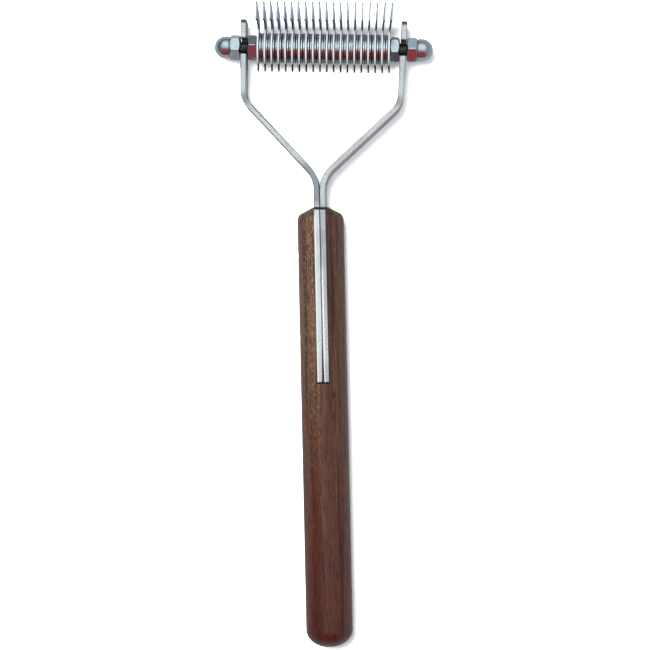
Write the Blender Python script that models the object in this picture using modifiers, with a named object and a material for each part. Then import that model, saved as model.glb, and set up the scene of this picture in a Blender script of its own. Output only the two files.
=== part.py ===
"""A deshedding rake: hooked steel blades on a threaded rod, carried by a two-armed steel
fork whose tangs lie side by side in the sawn slot of a turned wooden handle.

The tool lies on its back. +X runs along the rod to the right, +Y runs from the handle to
the blades, and +Z points up out of the open side of the hooks. The origin is below the
middle of the tool, on the surface it lies on. Sizes are in metres, angles in degrees.
"""
import math

import bmesh
import bpy

# Blades and the spacers between them
BLADE_COUNT = 20
BLADE_PITCH = 0.002103
BLADE_THICKNESS = 0.0005
HUB_RADIUS = 0.00495
BORE_RADIUS = 0.00215
SPACER_RADIUS = 0.0046
SPACER_LENGTH = 0.00154
BLADE_TOP = 0.0126
BLADE_REACH = 0.0136
CUTTING_EDGE_HEIGHT = 0.0067
TAIL_REACH = 0.0071

# Rod, nuts and cap nuts (M4)
ROD_RADIUS = 0.00197
ROD_LENGTH = 0.0608
NUT_ACROSS_FLATS = 0.0070
NUT_LENGTH = 0.0029
INNER_NUT_FACE = 0.0203
CAP_NUT_FACE = 0.0254
CAP_NUT_LENGTH = 0.0080
CAP_HEX_LENGTH = 0.00325
CAP_DOME_RADIUS = 0.0034
CAP_BORE_DEPTH = 0.0056
LEFT_INNER_NUT_TURN = 6.0
RIGHT_INNER_NUT_TURN = 42.5
LEFT_CAP_NUT_TURN = 39.5
RIGHT_CAP_NUT_TURN = -3.0

# Fork arms, bent from flat steel
ARM_THICKNESS = 0.00175
ARM_DEPTH = 0.0100
LEG_X = 0.0243
LEFT_LEG_LEAN = 0.9
RIGHT_LEG_LEAN = -2.1
ARM_TIP = 0.0083
ARM_TIP_ROUND = 0.0020
LEFT_UPPER_CORNER = 0.0162
RIGHT_UPPER_CORNER = 0.0172
UPPER_BEND_RADIUS = 0.0070
LOWER_CORNER = 0.03955
LOWER_BEND_RADIUS = 0.0095
NOTCH_RADIUS = 0.0024
RELIEF_WIDTH = 0.0007
RELIEF_DEPTH = 0.0010

# Tangs, in the handle's slot
TANG_DEPTH = 0.0140
TANG_LENGTH = 0.0537
TANG_SHOULDER = 0.0014
TANG_GAP = 0.0001
TANG_TAPER = 0.00028
TANG_TAPER_LENGTH = 0.0125

# Handle
HANDLE_RADIUS = 0.0071
HANDLE_LENGTH = 0.1344
HANDLE_TOP_X = -0.00015
HANDLE_TOP = 0.0482
HANDLE_SKEW = 2.3
HANDLE_END_LENGTH = 0.0053
CONE_TOP_RADIUS = 0.0019
CONE_LENGTH = 0.0024
CONE_BASE_RADIUS = 0.0063
CONE_BLEND_LENGTH = 0.0022
SLOT_WIDTH = 0.0038
SLOT_LENGTH = 0.0541

# Cross pins through the handle and both tangs
PIN_RADIUS = 0.00125
PIN_HOLE_RADIUS = 0.00135
PIN_PLACES = (0.0150, 0.0400)

# The rod's place: the tool's length is centred on the origin and its back is at height 0
HANDLE_END = HANDLE_TOP + HANDLE_LENGTH * math.cos(math.radians(HANDLE_SKEW))
AXLE_Y = (HANDLE_END - BLADE_TOP) / 2.0
AXLE_Z = HANDLE_RADIUS

ROUND_SEGMENTS = 24
WELD_DISTANCE = 0.00001
CLEARANCE = 0.002


def clear_scene():
    for old in list(bpy.data.objects):
        bpy.data.objects.remove(old, do_unlink=True)


def make_collection(name):
    collection = bpy.data.collections.new(name)
    bpy.context.scene.collection.children.link(collection)
    return collection


def make_material(name, colour, metallic, roughness):
    material = bpy.data.materials.new(name)
    material.use_nodes = True
    shader = material.node_tree.nodes["Principled BSDF"]
    shader.inputs["Base Color"].default_value = (colour[0], colour[1], colour[2], 1.0)
    shader.inputs["Metallic"].default_value = metallic
    shader.inputs["Roughness"].default_value = roughness
    material.diffuse_color = (colour[0], colour[1], colour[2], 1.0)
    return material


def make_empty(name, location, turn=0.0):
    empty = bpy.data.objects.new(name, None)
    empty.location = location
    empty.rotation_euler = (0.0, 0.0, math.radians(turn))
    PARTS.objects.link(empty)
    return empty


# ---------------------------------------------------------------- outlines

def arc(centre, radius, start, end, steps):
    """Points on an arc from one angle to another, both ends included."""
    points = []
    for step in range(steps + 1):
        angle = math.radians(start + (end - start) * step / steps)
        points.append((centre[0] + radius * math.cos(angle), centre[1] + radius * math.sin(angle)))
    return points


def bend(start, control, end, steps):
    """Points on a quadratic curve that leaves start towards control and arrives at end."""
    points = []
    for step in range(steps + 1):
        t = step / steps
        weights = ((1 - t) ** 2, 2 * t * (1 - t), t ** 2)
        x = weights[0] * start[0] + weights[1] * control[0] + weights[2] * end[0]
        y = weights[0] * start[1] + weights[1] * control[1] + weights[2] * end[1]
        points.append((x, y))
    return points


def circle(radius, segments):
    return arc((0.0, 0.0), radius, 0.0, 360.0 - 360.0 / segments, segments - 1)


def hexagon(across_flats, first_corner):
    corner_radius = across_flats / 2.0 / math.cos(math.radians(30.0))
    return arc((0.0, 0.0), corner_radius, first_corner, first_corner + 300.0, 5)


def rounded_path(corners, radii, steps):
    """A polyline whose inner corners are arcs: a list of (point, unit direction)."""
    path = []
    for index, corner in enumerate(corners):
        before = corners[index - 1] if index > 0 else None
        after = corners[index + 1] if index < len(corners) - 1 else None
        if before is None or after is None:
            other = after if before is None else before
            sign = 1.0 if before is None else -1.0
            way = unit((sign * (other[0] - corner[0]), sign * (other[1] - corner[1])))
            path.append((corner, way))
            continue
        way_in = unit((corner[0] - before[0], corner[1] - before[1]))
        way_out = unit((after[0] - corner[0], after[1] - corner[1]))
        turn = math.atan2(cross(way_in, way_out), way_in[0] * way_out[0] + way_in[1] * way_out[1])
        if radii[index] == 0.0:
            path.append((corner, unit((way_in[0] + way_out[0], way_in[1] + way_out[1]))))
            continue
        setback = radii[index] * math.tan(abs(turn) / 2.0)
        side = 1.0 if turn > 0 else -1.0
        start = (corner[0] - way_in[0] * setback, corner[1] - way_in[1] * setback)
        centre = (start[0] - way_in[1] * side * radii[index], start[1] + way_in[0] * side * radii[index])
        for step in range(steps + 1):
            angle = turn * step / steps
            way = rotated(way_in, angle)
            out = (way[1] * side, -way[0] * side)
            point = (centre[0] + out[0] * radii[index], centre[1] + out[1] * radii[index])
            path.append((point, way))
    return path


def unit(vector):
    length = math.hypot(vector[0], vector[1])
    return (vector[0] / length, vector[1] / length)


def cross(first, second):
    return first[0] * second[1] - first[1] * second[0]


def rotated(vector, angle):
    cosine = math.cos(angle)
    sine = math.sin(angle)
    return (vector[0] * cosine - vector[1] * sine, vector[0] * sine + vector[1] * cosine)


# ---------------------------------------------------------------- mesh makers

def plate_mesh(name, outlines, thickness):
    """A flat plate from closed outlines, centred on its own plane; an inner outline is a hole."""
    curve = bpy.data.curves.new(name + "_outline", "CURVE")
    curve.dimensions = "2D"
    curve.fill_mode = "BOTH"
    curve.extrude = thickness / 2.0
    for outline in outlines:
        spline = curve.splines.new("POLY")
        spline.points.add(len(outline) - 1)
        for point, (x, y) in zip(spline.points, outline):
            point.co = (x, y, 0.0, 1.0)
        spline.use_cyclic_u = True
    drawing = bpy.data.objects.new(name + "_outline", curve)
    bpy.context.scene.collection.objects.link(drawing)
    graph = bpy.context.evaluated_depsgraph_get()
    mesh = bpy.data.meshes.new_from_object(drawing.evaluated_get(graph))
    bpy.data.objects.remove(drawing, do_unlink=True)
    weld_mesh(mesh)
    mesh.name = name
    return mesh


def weld_mesh(mesh):
    bm = bmesh.new()
    bm.from_mesh(mesh)
    bmesh.ops.remove_doubles(bm, verts=bm.verts, dist=WELD_DISTANCE / 10.0)
    bmesh.ops.recalc_face_normals(bm, faces=bm.faces)
    bm.to_mesh(mesh)
    bm.free()


def rod_mesh(name, radius, length, segments):
    """A closed cylinder along X, centred on its own origin."""
    bm = bmesh.new()
    bmesh.ops.create_cone(bm, cap_ends=True, segments=segments, radius1=radius, radius2=radius, depth=length)
    for vertex in bm.verts:
        vertex.co = (vertex.co.z, vertex.co.y, -vertex.co.x)
    mesh = bpy.data.meshes.new(name)
    bm.to_mesh(mesh)
    bm.free()
    return mesh


def box_mesh(name, low, high):
    bm = bmesh.new()
    bmesh.ops.create_cube(bm, size=1.0)
    for vertex in bm.verts:
        for axis in range(3):
            middle = (low[axis] + high[axis]) / 2.0
            vertex.co[axis] = middle + vertex.co[axis] * (high[axis] - low[axis])
    mesh = bpy.data.meshes.new(name)
    bm.to_mesh(mesh)
    bm.free()
    return mesh


def profile_mesh(name, profile):
    """An open profile in the XZ plane, for a Screw modifier about Z: (radius, height) pairs."""
    bm = bmesh.new()
    previous = None
    for radius, height in profile:
        vertex = bm.verts.new((radius, 0.0, height))
        if previous is not None:
            bm.edges.new((previous, vertex))
        previous = vertex
    mesh = bpy.data.meshes.new(name)
    bm.to_mesh(mesh)
    bm.free()
    return mesh


# ---------------------------------------------------------------- objects

def place(name, mesh, collection, parent, location=(0.0, 0.0, 0.0), rotation=(0.0, 0.0, 0.0)):
    thing = bpy.data.objects.new(name, mesh)
    thing.parent = parent
    thing.location = location
    thing.rotation_euler = [math.radians(angle) for angle in rotation]
    collection.objects.link(thing)
    return thing


def place_part(name, mesh, material, parent, location=(0.0, 0.0, 0.0), rotation=(0.0, 0.0, 0.0)):
    if not mesh.materials:
        mesh.materials.append(material)
    return place(name, mesh, PARTS, parent, location, rotation)


def place_cutter(name, mesh, parent, location=(0.0, 0.0, 0.0), rotation=(0.0, 0.0, 0.0)):
    cutter = place(name, mesh, CUTTERS, parent, location, rotation)
    cutter.hide_render = True
    cutter.display_type = "WIRE"
    return cutter


def add_boolean(part, cutter, operation):
    modifier = part.modifiers.new(operation.lower() + "_" + cutter.name, "BOOLEAN")
    modifier.operation = operation
    modifier.solver = "EXACT"
    modifier.object = cutter


def add_screw(part, steps):
    modifier = part.modifiers.new("turned", "SCREW")
    modifier.axis = "Z"
    modifier.steps = steps
    modifier.render_steps = steps
    modifier.use_merge_vertices = True
    modifier.merge_threshold = WELD_DISTANCE


def smooth_round_faces(mesh, angle):
    mesh.shade_smooth()
    mesh.set_sharp_from_angle(angle=math.radians(angle))


# An outline drawn as (forward, up the tool) stands in the YZ plane after this turn
SIDE_VIEW = (0.0, -90.0, 0.0)


# ---------------------------------------------------------------- blades and spacers

def blade_outline():
    """Side view of a blade about the rod's axis, drawn clockwise from the foot of the cutting edge."""
    outline = []
    outline += arc((0.0, 0.0), HUB_RADIUS, 66.0, -92.0, 10)
    outline += [(-0.0010, -TAIL_REACH + 0.0003), (-0.0014, -TAIL_REACH), (-0.0019, -TAIL_REACH + 0.0003)]
    outline += arc((0.0, 0.0), HUB_RADIUS, -122.0, -208.0, 5)
    outline += bend((-0.0044, 0.0040), (-0.0044, 0.0088), (0.0012, 0.0101), 5)
    outline += bend((0.0042, 0.0109), (0.0085, 0.0114), (0.0117, BLADE_TOP), 3)
    outline += bend((0.0125, BLADE_TOP - 0.0003), (0.0129, BLADE_TOP - 0.0007), (0.0131, 0.0108), 2)
    outline += [(BLADE_REACH, CUTTING_EDGE_HEIGHT), (0.0133, CUTTING_EDGE_HEIGHT - 0.0002)]
    outline += bend((0.0122, CUTTING_EDGE_HEIGHT), (0.0070, 0.0074), (0.0029, 0.0053), 5)
    return outline


def make_blades(axle, steel):
    mesh = plate_mesh("blade", [blade_outline(), circle(BORE_RADIUS, 20)], BLADE_THICKNESS)
    first = -(BLADE_COUNT - 1) / 2.0 * BLADE_PITCH
    for index in range(BLADE_COUNT):
        location = (first + index * BLADE_PITCH, 0.0, 0.0)
        place_part("blade_%02d" % (index + 1), mesh, steel, axle, location, SIDE_VIEW)


def make_spacers(axle, steel):
    mesh = plate_mesh("spacer", [circle(SPACER_RADIUS, 20), circle(BORE_RADIUS, 20)], SPACER_LENGTH)
    smooth_round_faces(mesh, 40.0)
    gaps = BLADE_COUNT - 1
    first = -(gaps - 1) / 2.0 * BLADE_PITCH
    for index in range(gaps):
        location = (first + index * BLADE_PITCH, 0.0, 0.0)
        place_part("spacer_%02d" % (index + 1), mesh, steel, axle, location, SIDE_VIEW)


# ---------------------------------------------------------------- rod and nuts

def make_rod(axle, steel):
    mesh = rod_mesh("threaded_rod", ROD_RADIUS, ROD_LENGTH, ROUND_SEGMENTS)
    smooth_round_faces(mesh, 40.0)
    place_part("threaded_rod", mesh, steel, axle)


def make_inner_nut(name, side, first_corner, axle, zinc):
    outlines = [hexagon(NUT_ACROSS_FLATS, first_corner), circle(BORE_RADIUS, 20)]
    mesh = plate_mesh(name, outlines, NUT_LENGTH)
    location = (side * (INNER_NUT_FACE + NUT_LENGTH / 2.0), 0.0, 0.0)
    place_part(name, mesh, zinc, axle, location, SIDE_VIEW)


def make_cap_nut(name, side, first_corner, axle, zinc):
    """A hexagon with a round dome over its outer end and a blind bore from its inner face."""
    outward = (0.0, side * 90.0, 0.0)
    hexagon_mesh = plate_mesh(name, [hexagon(NUT_ACROSS_FLATS, first_corner)], CAP_HEX_LENGTH)
    location = (side * (CAP_NUT_FACE + CAP_HEX_LENGTH / 2.0), 0.0, 0.0)
    nut = place_part(name, hexagon_mesh, zinc, axle, location, SIDE_VIEW)

    dome_height = CAP_NUT_LENGTH - CAP_DOME_RADIUS
    profile = []
    for radius, height in arc((0.0, dome_height), CAP_DOME_RADIUS, 90.0, 0.0, 7):
        profile.append((max(radius, 0.0), height))
    profile.append((CAP_DOME_RADIUS, CAP_HEX_LENGTH / 2.0))
    profile.append((0.0, CAP_HEX_LENGTH / 2.0))
    profile[0] = (0.0, CAP_NUT_LENGTH)
    dome = place_cutter(name + "_dome", profile_mesh(name + "_dome", profile), axle,
                        (side * CAP_NUT_FACE, 0.0, 0.0), outward)
    add_screw(dome, ROUND_SEGMENTS)
    add_boolean(nut, dome, "UNION")

    bore_length = CAP_BORE_DEPTH + CLEARANCE
    bore_middle = side * (CAP_NUT_FACE + CAP_BORE_DEPTH - bore_length / 2.0)
    bore = place_cutter(name + "_bore", rod_mesh(name + "_bore", BORE_RADIUS, bore_length, 20), axle,
                        (bore_middle, 0.0, 0.0))
    add_boolean(nut, bore, "DIFFERENCE")


# ---------------------------------------------------------------- fork

def handle_line_x(y):
    """X of the handle's centre line at a height y below the rod."""
    return HANDLE_TOP_X + (-HANDLE_TOP - y) * math.tan(math.radians(HANDLE_SKEW))


def handle_point(across, along):
    """A point given across and down the handle from the middle of its top end, seen from the rod."""
    turned = rotated((across, -along), math.radians(HANDLE_SKEW))
    return (HANDLE_TOP_X + turned[0], -HANDLE_TOP + turned[1])


def arm_plan(side, leg_lean, upper_corner):
    """Plan of one arm about the rod: a strip bent at two corners, its tang tapered inside at the end."""
    tang_offset = side * (ARM_THICKNESS + TANG_GAP) / 2.0
    lean = math.tan(math.radians(leg_lean))
    corners = [
        (side * LEG_X - ARM_TIP * lean, ARM_TIP),
        (side * LEG_X + upper_corner * lean, -upper_corner),
        (handle_line_x(-LOWER_CORNER) + tang_offset, -LOWER_CORNER),
        handle_point(tang_offset, TANG_LENGTH - TANG_TAPER_LENGTH),
        handle_point(tang_offset, TANG_LENGTH),
    ]
    radii = [0.0, UPPER_BEND_RADIUS, LOWER_BEND_RADIUS, 0.0, 0.0]
    inner = []
    outer = []
    for point, way in rounded_path(corners, radii, 5):
        half = ARM_THICKNESS / 2.0
        normal = (-way[1] * side, way[0] * side)
        outer.append((point[0] + normal[0] * half, point[1] + normal[1] * half))
        inner.append((point[0] - normal[0] * half, point[1] - normal[1] * half))
    inner[-1] = handle_point(side * (TANG_GAP / 2.0 + TANG_TAPER), TANG_LENGTH)
    return outer + inner[::-1]


def arm_side_view():
    """Side view of an arm: rounded tip, notch open to the front, stepped down from the deep tang."""
    half = ARM_DEPTH / 2.0
    shoulder = -HANDLE_TOP - TANG_SHOULDER
    end = -HANDLE_TOP - TANG_LENGTH - CLEARANCE
    corner = half - ARM_TIP_ROUND
    outline = []
    outline += arc((-corner, ARM_TIP - ARM_TIP_ROUND), ARM_TIP_ROUND, 180.0, 90.0, 4)
    outline += arc((corner, ARM_TIP - ARM_TIP_ROUND), ARM_TIP_ROUND, 90.0, 0.0, 4)
    outline += [(half, NOTCH_RADIUS)]
    outline += arc((0.0, 0.0), NOTCH_RADIUS, 90.0, 270.0, 8)
    outline += [(half, -NOTCH_RADIUS)]
    outline += [(half, shoulder + RELIEF_WIDTH), (half - RELIEF_DEPTH, shoulder + RELIEF_WIDTH)]
    outline += [(half - RELIEF_DEPTH, shoulder), (TANG_DEPTH / 2.0, shoulder)]
    outline += [(TANG_DEPTH / 2.0, end), (-TANG_DEPTH / 2.0, end)]
    outline += [(-TANG_DEPTH / 2.0, shoulder), (-half, shoulder)]
    return outline


def make_arm(name, side, leg_lean, upper_corner, axle, pin_cutters, steel):
    plan = plate_mesh(name, [arm_plan(side, leg_lean, upper_corner)], TANG_DEPTH + CLEARANCE)
    arm = place_part(name, plan, steel, axle)
    view_mesh = plate_mesh(name + "_side_view", [arm_side_view()], 2.0 * LEG_X + 4.0 * ARM_THICKNESS)
    view = place_cutter(name + "_side_view", view_mesh, axle, (0.0, 0.0, 0.0), SIDE_VIEW)
    add_boolean(arm, view, "INTERSECT")
    for cutter in pin_cutters:
        add_boolean(arm, cutter, "DIFFERENCE")


# ---------------------------------------------------------------- handle

def handle_profile():
    """Half outline of the handle from the middle of its rounded end up to its conical top."""
    profile = []
    end_centre = HANDLE_LENGTH - HANDLE_END_LENGTH
    for step in range(9):
        angle = math.radians(90.0 * step / 8)
        profile.append((HANDLE_RADIUS * math.sin(angle), -end_centre - HANDLE_END_LENGTH * math.cos(angle)))
    blend_start = (HANDLE_RADIUS, -CONE_LENGTH - CONE_BLEND_LENGTH)
    blend_end = (CONE_BASE_RADIUS, -CONE_LENGTH)
    profile += bend(blend_start, (HANDLE_RADIUS, -CONE_LENGTH - CONE_BLEND_LENGTH / 3.0), blend_end, 4)
    profile += [(CONE_TOP_RADIUS, 0.0), (0.0, 0.0)]
    profile.reverse()
    return profile


def make_pin_cutters(handle_top):
    cutters = []
    for index, place_along in enumerate(PIN_PLACES):
        name = "pin_hole_%d" % (index + 1)
        length = 2.0 * HANDLE_RADIUS + CLEARANCE
        mesh = rod_mesh(name, PIN_HOLE_RADIUS, length, 16)
        cutters.append(place_cutter(name, mesh, handle_top, (0.0, -place_along, 0.0)))
    return cutters


def make_handle(handle_top, pin_cutters, wood):
    """Turned about its own Z, which runs up the handle to its top end."""
    mesh = profile_mesh("handle", handle_profile())
    handle = place_part("handle", mesh, wood, handle_top, rotation=(-90.0, 0.0, 0.0))
    add_screw(handle, 40)
    slot_mesh = box_mesh("slot", (-SLOT_WIDTH / 2.0, -SLOT_LENGTH, -HANDLE_RADIUS - CLEARANCE),
                         (SLOT_WIDTH / 2.0, CLEARANCE, HANDLE_RADIUS + CLEARANCE))
    add_boolean(handle, place_cutter("slot", slot_mesh, handle_top), "DIFFERENCE")
    for cutter in pin_cutters:
        add_boolean(handle, cutter, "DIFFERENCE")


def make_pins(handle_top, steel):
    for name, place_along in zip(("upper_handle_pin", "lower_handle_pin"), PIN_PLACES):
        length = 2.0 * (HANDLE_RADIUS - 0.0002)
        mesh = rod_mesh(name, PIN_RADIUS, length, 16)
        smooth_round_faces(mesh, 40.0)
        place_part(name, mesh, steel, handle_top, (0.0, -place_along, 0.0))


clear_scene()
PARTS = make_collection("deshedding_tool")
CUTTERS = make_collection("cutters")

WOOD = make_material("handle_wood", (0.16, 0.07, 0.04), 0.0, 0.4)
FORK_STEEL = make_material("fork_steel", (0.62, 0.64, 0.64), 1.0, 0.45)
BLADE_STEEL = make_material("blade_steel", (0.70, 0.73, 0.78), 1.0, 0.25)
WASHER_STEEL = make_material("washer_steel", (0.60, 0.61, 0.62), 1.0, 0.3)
ZINC = make_material("bright_zinc", (0.66, 0.72, 0.78), 1.0, 0.2)
ROD_STEEL = make_material("rod_steel", (0.18, 0.18, 0.18), 1.0, 0.4)

AXLE = make_empty("axle_line", (0.0, AXLE_Y, AXLE_Z))
HANDLE_AXIS = make_empty("handle_line", (HANDLE_TOP_X, AXLE_Y - HANDLE_TOP, AXLE_Z), HANDLE_SKEW)
PIN_CUTTERS = make_pin_cutters(HANDLE_AXIS)

make_handle(HANDLE_AXIS, PIN_CUTTERS, WOOD)
make_pins(HANDLE_AXIS, ROD_STEEL)
make_arm("left_arm", -1.0, LEFT_LEG_LEAN, LEFT_UPPER_CORNER, AXLE, PIN_CUTTERS, FORK_STEEL)
make_arm("right_arm", 1.0, RIGHT_LEG_LEAN, RIGHT_UPPER_CORNER, AXLE, PIN_CUTTERS, FORK_STEEL)
make_rod(AXLE, ROD_STEEL)
make_inner_nut("left_inner_nut", -1.0, LEFT_INNER_NUT_TURN, AXLE, ZINC)
make_inner_nut("right_inner_nut", 1.0, RIGHT_INNER_NUT_TURN, AXLE, ZINC)
make_cap_nut("left_cap_nut", -1.0, LEFT_CAP_NUT_TURN, AXLE, ZINC)
make_cap_nut("right_cap_nut", 1.0, RIGHT_CAP_NUT_TURN, AXLE, ZINC)
make_blades(AXLE, BLADE_STEEL)
make_spacers(AXLE, WASHER_STEEL)
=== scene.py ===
"""The looks of a deshedding rake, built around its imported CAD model.

Every piece takes its place from the frame. +X runs along the rod to the right, +Y runs from
the handle to the blades, and +Z points up to the viewer. Sizes are in metres, angles in degrees.
"""
import math
import random

import bmesh
import bpy
from mathutils import Matrix, Vector
from mathutils.geometry import tessellate_polygon


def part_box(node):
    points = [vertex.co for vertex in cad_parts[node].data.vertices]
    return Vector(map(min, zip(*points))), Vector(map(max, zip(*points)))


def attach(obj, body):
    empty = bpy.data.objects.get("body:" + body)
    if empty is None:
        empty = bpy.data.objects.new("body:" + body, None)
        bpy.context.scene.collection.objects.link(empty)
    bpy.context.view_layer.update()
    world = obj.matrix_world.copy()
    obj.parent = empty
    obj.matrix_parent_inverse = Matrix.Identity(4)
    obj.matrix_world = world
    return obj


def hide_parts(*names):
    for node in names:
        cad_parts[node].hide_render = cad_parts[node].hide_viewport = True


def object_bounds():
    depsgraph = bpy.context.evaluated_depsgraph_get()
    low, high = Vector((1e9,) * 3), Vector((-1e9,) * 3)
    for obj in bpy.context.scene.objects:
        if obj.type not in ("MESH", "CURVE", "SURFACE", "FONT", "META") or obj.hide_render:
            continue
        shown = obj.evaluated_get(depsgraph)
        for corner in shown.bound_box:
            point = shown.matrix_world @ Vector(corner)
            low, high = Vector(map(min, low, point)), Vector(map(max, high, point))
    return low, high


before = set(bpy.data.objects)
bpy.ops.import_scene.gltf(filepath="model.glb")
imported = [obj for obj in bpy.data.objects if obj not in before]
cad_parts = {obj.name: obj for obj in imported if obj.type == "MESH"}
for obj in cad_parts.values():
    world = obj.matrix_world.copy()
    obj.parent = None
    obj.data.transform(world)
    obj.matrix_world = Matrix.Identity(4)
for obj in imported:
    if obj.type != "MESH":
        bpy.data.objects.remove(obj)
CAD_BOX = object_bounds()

# Blades. The finishes are places in a blade's list of materials, where its flat sides come first.
# The rim finish is a painted highlight; the back and ground finishes are painted shade.
RIM_HIGHLIGHT, GROUND_SHADE, BACK_SHADE = 1, 2, 3
BLADE_SHRINK = 0.995
HUB_RADIUS = 0.00495
BLADE_TOP = 0.0126
BLADE_REACH = 0.0136
CUTTING_EDGE_HEIGHT = 0.0067
TAIL_REACH = 0.0071
BORE_RADIUS = 0.00215
BLADE_EDGE_ROUND = 0.00005
GRIND_WIDTH = 0.00035
SHARP_HALF_THICKNESS = 0.00010
BLADE_TURN_SPREAD = 0.2
BLADE_BEND_SPREAD = 0.0001
BLADE_FAN = 0.0010
FAN_START = 0.0040
FAN_END = 0.0200
BLADE_BORE_SEGMENTS = 40
SHARP_CORNER_SINE = 0.25

# Washers, two between each pair of blades
WASHER_RADIUS = 0.00450
WASHER_GAP = 0.00006
# Painted shade on rim faces turned towards the neighbours, beyond this sideways share of the normal
FACING_SHADE_START = 0.45
WASHER_RIM_ROUND = 0.00028
WASHER_BURR_ROUND = 0.00012
WASHER_SHIFT = 0.00010
WASHER_SEGMENTS = 64
WASHER_ROUND_STEPS = 4

# Rod and nuts (M4)
THREAD_PITCH = 0.0007
THREAD_DEPTH = 0.00036
THREAD_FLANK_SLOPE = 2.6
THREAD_CREST_SHARE = 0.18
THREAD_SEGMENTS = 28
THREAD_RINGS_EACH_TURN = 7
ROD_CHAMFER = 0.0005
ACROSS_FLATS = 0.0070
NUT_TURNS = {
    "left_inner_nut": 6.0,
    "right_inner_nut": 42.5,
    "left_cap_nut": 39.5,
    "right_cap_nut": -3.0,
}
NUT_FACE_RADIUS = 0.00322
NUT_CHAMFER_SLOPE = 0.62
NUT_EDGE_ROUND = 0.00008
NUT_SHARP_ANGLE = 24.0
NUT_BORE_FLARE = 0.0003
CAP_HEX_LENGTH = 0.00325
CAP_NECK_RADIUS = 0.00308
CAP_NECK_LENGTH = 0.00018
CAP_DOME_RADIUS = 0.0034
CAP_DOME_LIP = 0.00015
CAP_DOME_STEPS = 20
CAP_BORE_DEPTH = 0.0056
CAP_BORE_POINT = 0.0006

# Fork arms
ARM_THICKNESS = 0.00175
ARM_DEPTH = 0.0100
LEG_X = 0.0243
LEFT_LEG_LEAN = 0.9
RIGHT_LEG_LEAN = -2.1
ARM_TIP = 0.0083
ARM_TIP_ROUND = 0.0020
LEFT_UPPER_CORNER = 0.0162
RIGHT_UPPER_CORNER = 0.0172
UPPER_BEND_RADIUS = 0.0070
LOWER_CORNER = 0.03955
LOWER_BEND_RADIUS = 0.0095
NOTCH_RADIUS = 0.0024
RELIEF_WIDTH = 0.0007
RELIEF_DEPTH = 0.0010
ARM_EDGE_ROUND = 0.00024
ARM_BEND_STEPS = 16
ARM_TIP_STEPS = 8
TANG_DEPTH = 0.0140
TANG_LENGTH = 0.0537
TANG_SHOULDER = 0.0014
TANG_GAP = 0.0001
TANG_TAPER = 0.00028
TANG_TAPER_LENGTH = 0.0125

# Handle
HANDLE_RADIUS = 0.0071
HANDLE_LENGTH = 0.13438
HANDLE_END_LENGTH = 0.0053
CONE_TOP_RADIUS = 0.0017
CONE_LENGTH = 0.0024
CONE_BASE_RADIUS = 0.0063
CONE_BLEND_LENGTH = 0.0022
SLOT_WIDTH = 0.0038
SLOT_LENGTH = 0.0541
HANDLE_SEGMENTS = 128
HANDLE_STRAIGHT_STEPS = 24
HANDLE_SHARP_ANGLE = 25.0
PIN_PLACES = (0.0150, 0.0400)
PIN_HOLE_RADIUS = 0.00135
PIN_END_ROUND = 0.00025
PIN_SEGMENTS = 32

# Colours and patterns of the wood, with places across and down the handle. Each noise has its
# share of the scale down the grain, its scale, detail, roughness and distortion.
WOOD_NOISE = {
    "warp": (0.05, 260.0, 2.0, 0.5, 0.0),
    "streaks": (0.03, 620.0, 4.0, 0.62, 0.5),
    "bands": (0.03, 210.0, 2.0, 0.5, 0.8),
    "fibres": (0.06, 3400.0, 3.0, 0.6, 0.0),
    "pores": (0.12, 2400.0, 1.0, 0.4, 0.0),
    "flecks": (0.45, 2100.0, 2.0, 0.6, 0.0),
}
WOOD_BROWN = (0.086, 0.028, 0.0145)
WOOD_GOLDEN = (0.190, 0.093, 0.050)
WOOD_DARK = (0.024, 0.0092, 0.0068)
WOOD_RED = (0.077, 0.0095, 0.0050)
WOOD_PORE = (0.012, 0.006, 0.004)
WOOD_FLECK = (0.36, 0.27, 0.20)
WOOD_END = (0.020, 0.011, 0.008)
STRIPE_WAVER = 0.0012
STRIPE_LEFT_EDGE = (-0.0064, -0.0046)
STRIPE_RIGHT_EDGE = (-0.0006, -0.0020)
STRIPE_FADE = (0.098, 0.030)
REDDER_FROM = 0.22 * HANDLE_LENGTH

# Colours of the fork, among them painted shade and painted highlights
STEEL_LIGHT = (0.88, 0.865, 0.855)
STEEL_DARK = (0.44, 0.435, 0.43)
STEEL_SPANGLE = (0.74, 0.73, 0.72)
STEEL_CLOUD = (0.42, 0.42, 0.43)
STEEL_TIP_SHADE = (0.12, 0.125, 0.135)
STEEL_BEND_SHADE = (0.24, 0.24, 0.25)
STEEL_NECK_SHADE = (0.27, 0.275, 0.30)
STEEL_SLOPE_SHADE = (0.16, 0.16, 0.17)
STEEL_LEFT_TANG_LIGHT = (0.98, 0.97, 0.95)
STEEL_RIGHT_TANG_SHADE = (0.44, 0.46, 0.49)
STEEL_EDGE_HIGHLIGHT = (0.98, 0.98, 0.97)
STEEL_GROOVE_DARK = (0.03, 0.03, 0.033)
SPECKLE_SCALE = 2900.0
SPANGLE_SCALE = 1500.0
CLOUD_SCALE = 120.0

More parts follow.
